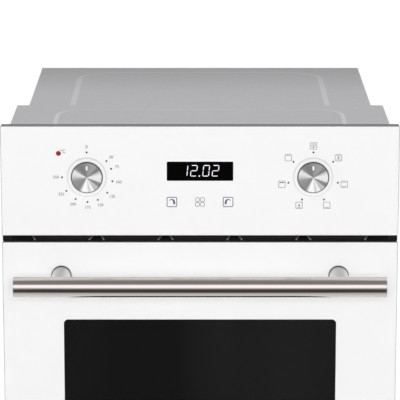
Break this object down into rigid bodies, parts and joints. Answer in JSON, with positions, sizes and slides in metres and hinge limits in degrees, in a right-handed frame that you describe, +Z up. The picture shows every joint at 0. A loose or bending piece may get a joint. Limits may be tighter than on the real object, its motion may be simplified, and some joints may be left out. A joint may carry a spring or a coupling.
{
  "type": "wall oven",
  "caption": "Built-in electric wall oven with a white glass control panel, push-in knobs, a drop-down windowed door with a bar handle and a galvanised casing.",
  "frame": {"origin": "bottom centre of the bounding box: the middle of the width, halfway between the handle's front and the casing's back, on the base", "axes": "+Z is up, -Y is the front where the door and the handle are, +X is to the right as seen from the front"},
  "size_m": [0.446, 0.6035, 0.595],
  "materials": {
    "white_glass": "white enamel behind polished glass",
    "black_glass": "polished black",
    "tinted_glass": "tinted, polished",
    "clear_glass": "clear, polished",
    "galvanised": "galvanised sheet with a faint spangle",
    "zinc_steel": "zinc-plated pressings",
    "black_steel": "satin black enamel",
    "dark_steel": "dark grey satin",
    "enamel": "glossy vitreous enamel with fine speckle",
    "brushed_bar": "fine brushed along the bar",
    "spun_metal": "spun face with fine circular lines",
    "white_plastic": "gloss",
    "black_plastic": "fine texture",
    "cream_plastic": "heat-proof moulding",
    "green_board": "circuit board",
    "red_lens": "translucent red",
    "copper": "drawn copper tube",
    "seal": "heat-proof braid",
    "mineral_fibre": "loose fibre blanket",
    "heater": "oxidised tube",
    "motor": "laminated core",
    "chrome": "bright",
    "ceramic": "glazed",
    "spring_steel": "oiled",
    "screw_zinc": "zinc",
    "wire_insulation": "silicone sleeve",
    "fan_metal": "pressed sheet"
  },
  "bodies": {
    "root": {"panel_glass": "white_glass", "panel_carrier": "dark_steel", "display_lens": "black_glass", "timer_module": "green_board", "knob_bezels": "white_plastic", "knob_springs": "spring_steel", "pilot_lamp": "red_lens", "switch_bracket": "zinc_steel", "thermostat": "cream_plastic", "thermostat_sensor": "copper", "selector_switch": "black_plastic", "control_cover": "galvanised", "top_cover": "galvanised", "side_panel_left": "galvanised", "side_panel_right": "galvanised", "base_plate": "galvanised", "rear_panel": "galvanised", "front_frame": "black_steel", "cavity_liner": "enamel", "insulation": "mineral_fibre", "door_seal": "seal", "hinge_arms": "zinc_steel", "hinge_receivers": "zinc_steel", "grill_element": "heater", "bottom_element": "heater", "fan_baffle": "enamel", "convection_motor": "motor", "lamp_holder": "ceramic", "lamp_glass": "clear_glass", "side_racks": "chrome", "blower_housing": "zinc_steel", "blower_motor": "motor", "air_duct": "zinc_steel", "air_outlet": "black_plastic", "terminal_box": "black_plastic", "terminal_cover": "black_plastic", "terminal_block": "cream_plastic", "wiring_loom": "wire_insulation", "casing_screws": "screw_zinc"},
    "door": {"door_glass": "white_glass", "door_middle_glass": "tinted_glass", "door_inner_glass": "tinted_glass", "door_inner_frame": "black_steel", "door_side_channels": "black_steel", "door_top_cap": "black_plastic", "door_bottom_rail": "black_steel", "handle_bar": "brushed_bar", "handle_posts": "brushed_bar", "handle_screws": "screw_zinc", "hinge_cases": "zinc_steel", "hinge_springs": "spring_steel"},
    "hinge_rods": {"hinge_rods": "spring_steel"},
    "temperature_spindle": {"temperature_spindle": "zinc_steel"},
    "function_spindle": {"function_spindle": "zinc_steel"},
    "temperature_knob": {"temperature_knob": "spun_metal"},
    "function_knob": {"function_knob": "spun_metal"},
    "convection_fan": {"convection_fan": "fan_metal"},
    "blower_impeller": {"blower_impeller": "fan_metal"},
    "wire_shelf": {"wire_shelf": "chrome"},
    "baking_tray": {"baking_tray": "enamel"}
  },
  "joints": [
    {"name": "door_hinge", "type": "hinge", "parent": "root", "child": "door", "pos_m": [0, -0.21125, 0.035], "axis": [1, 0, 0], "range_deg": [0, 90], "stiffness_Nm_per_rad": 6, "springref_deg": -20.05},
    {"name": "hinge_rods_slide", "type": "slide", "parent": "door", "child": "hinge_rods", "axis": [0, 0, -1], "range_m": [0, 0.012], "deforming": ["hinge_springs"]},
    {"name": "temperature_turn", "type": "hinge", "parent": "root", "child": "temperature_spindle", "pos_m": [-0.1268, -0.23825, 0.5367], "axis": [0, 1, 0], "range_deg": [0, 270]},
    {"name": "temperature_push", "type": "slide", "parent": "temperature_spindle", "child": "temperature_knob", "axis": [0, -1, 0], "range_m": [0, 0.018], "deforming": ["knob_springs"]},
    {"name": "function_turn", "type": "hinge", "parent": "root", "child": "function_spindle", "pos_m": [0.1268, -0.23825, 0.5367], "axis": [0, 1, 0], "continuous": true},
    {"name": "function_push", "type": "slide", "parent": "function_spindle", "child": "function_knob", "axis": [0, -1, 0], "range_m": [0, 0.018], "deforming": ["knob_springs"]},
    {"name": "convection_fan_spin", "type": "hinge", "parent": "root", "child": "convection_fan", "pos_m": [0, 0.19175, 0.225], "axis": [0, 1, 0], "continuous": true},
    {"name": "cooling_fan_spin", "type": "hinge", "parent": "root", "child": "blower_impeller", "pos_m": [0, 0.20175, 0.49], "axis": [1, 0, 0], "continuous": true},
    {"name": "wire_shelf_slide", "type": "slide", "parent": "root", "child": "wire_shelf", "axis": [0, -1, 0], "range_m": [0, 0.03]},
    {"name": "baking_tray_slide", "type": "slide", "parent": "root", "child": "baking_tray", "axis": [0, -1, 0], "range_m": [0, 0.018]}
  ],
  "couplings": [
    {"joint": "hinge_rods_slide", "follows": "door_hinge", "m_per_rad": 0.0076}
  ]
}
